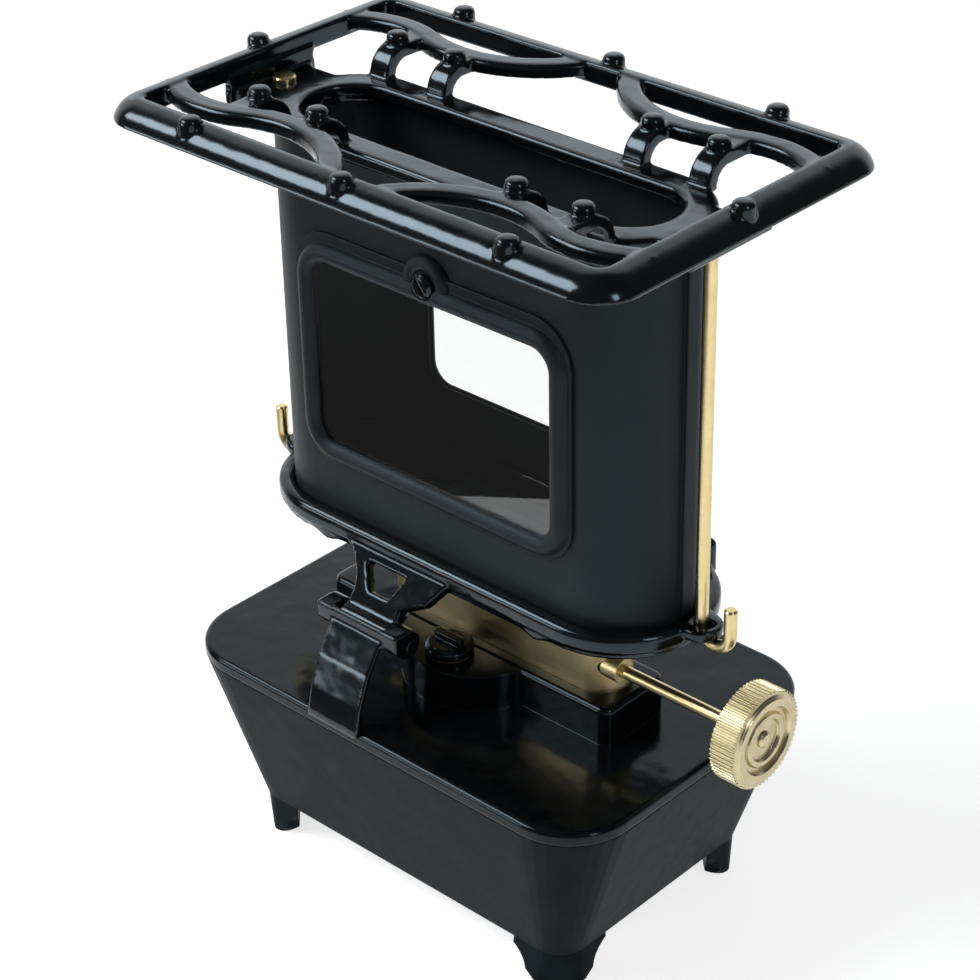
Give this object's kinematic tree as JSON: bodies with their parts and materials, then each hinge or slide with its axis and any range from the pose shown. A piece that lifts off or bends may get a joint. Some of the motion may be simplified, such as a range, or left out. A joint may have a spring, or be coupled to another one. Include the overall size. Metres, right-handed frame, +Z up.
{
  "type": "flat-wick kerosene stove",
  "caption": "Small cast-iron flat-wick kerosene stove: tapered fuel tank, brass burner, tilting windowed sheet chimney and a scrolled pot trivet.",
  "frame": {"origin": "On the floor in the plane of the four feet, under the middle of the whole stove's box.", "axes": "+Z up, +X along the long side towards the wick knob, -Y to the front with the tilt hinge."},
  "size_m": [0.2075, 0.1224, 0.2557],
  "materials": {
    "gloss_enamel": "gloss black enamel on iron casting",
    "satin_iron": "satin black paint on iron casting",
    "painted_sheet": "matte black stove paint on sheet",
    "polished_brass": "polished pale brass",
    "clear_mica": "clear window sheet",
    "cotton": "woven cotton",
    "seal": "matte sealing washer",
    "zinc_steel": "plain zinc-plated steel"
  },
  "bodies": {
    "base": {"tank_body": "satin_iron", "tank_cover": "gloss_enamel", "hinge_bracket": "gloss_enamel", "hinge_pin": "gloss_enamel", "wick_case": "polished_brass", "wick_tube": "polished_brass", "shaft_bushes": "polished_brass"},
    "chimney": {"gallery": "gloss_enamel", "flame_plate": "satin_iron", "chimney_shell": "painted_sheet", "front_window_frame": "painted_sheet", "rear_window_frame": "painted_sheet", "front_pane": "clear_mica", "rear_pane": "clear_mica", "window_screws": "painted_sheet", "window_nuts": "zinc_steel", "left_tie_rod": "polished_brass", "right_tie_rod": "polished_brass", "rod_nuts": "polished_brass", "trivet": "gloss_enamel"},
    "drive": {"wick_shaft": "polished_brass", "wick_wheels": "polished_brass", "wick_knob": "polished_brass", "knob_rivet": "polished_brass"},
    "wick_strip": {"wick": "cotton"},
    "cap_rise": {"filler_washer": "seal"},
    "cap": {"filler_cap": "gloss_enamel", "cap_stem": "polished_brass"}
  },
  "joints": [
    {"name": "chimney_tilt", "type": "hinge", "parent": "base", "child": "chimney", "pos_m": [-0.0198, -0.041, 0.0975], "axis": [1, 0, 0], "range_deg": [0, 50]},
    {"name": "wick_turn", "type": "hinge", "parent": "base", "child": "drive", "pos_m": [0.0436, -0.004, 0.093], "axis": [1, 0, 0], "range_deg": [-95, 95]},
    {"name": "wick_lift", "type": "slide", "parent": "base", "child": "wick_strip", "axis": [0, 0, 1], "range_m": [-0.006, 0.006]},
    {"name": "cap_lift", "type": "slide", "parent": "base", "child": "cap_rise", "axis": [0, 0, 1], "range_m": [0, 0.0024]},
    {"name": "cap_turn", "type": "hinge", "parent": "cap_rise", "child": "cap", "pos_m": [-0.0064, -0.0202, 0.0844], "axis": [0, 0, 1], "range_deg": [0, 540]}
  ],
  "couplings": [
    {"joint": "wick_lift", "follows": "wick_turn", "m_per_rad": 0.0036},
    {"joint": "cap_lift", "follows": "cap_turn", "m_per_rad": 0.00024}
  ]
}
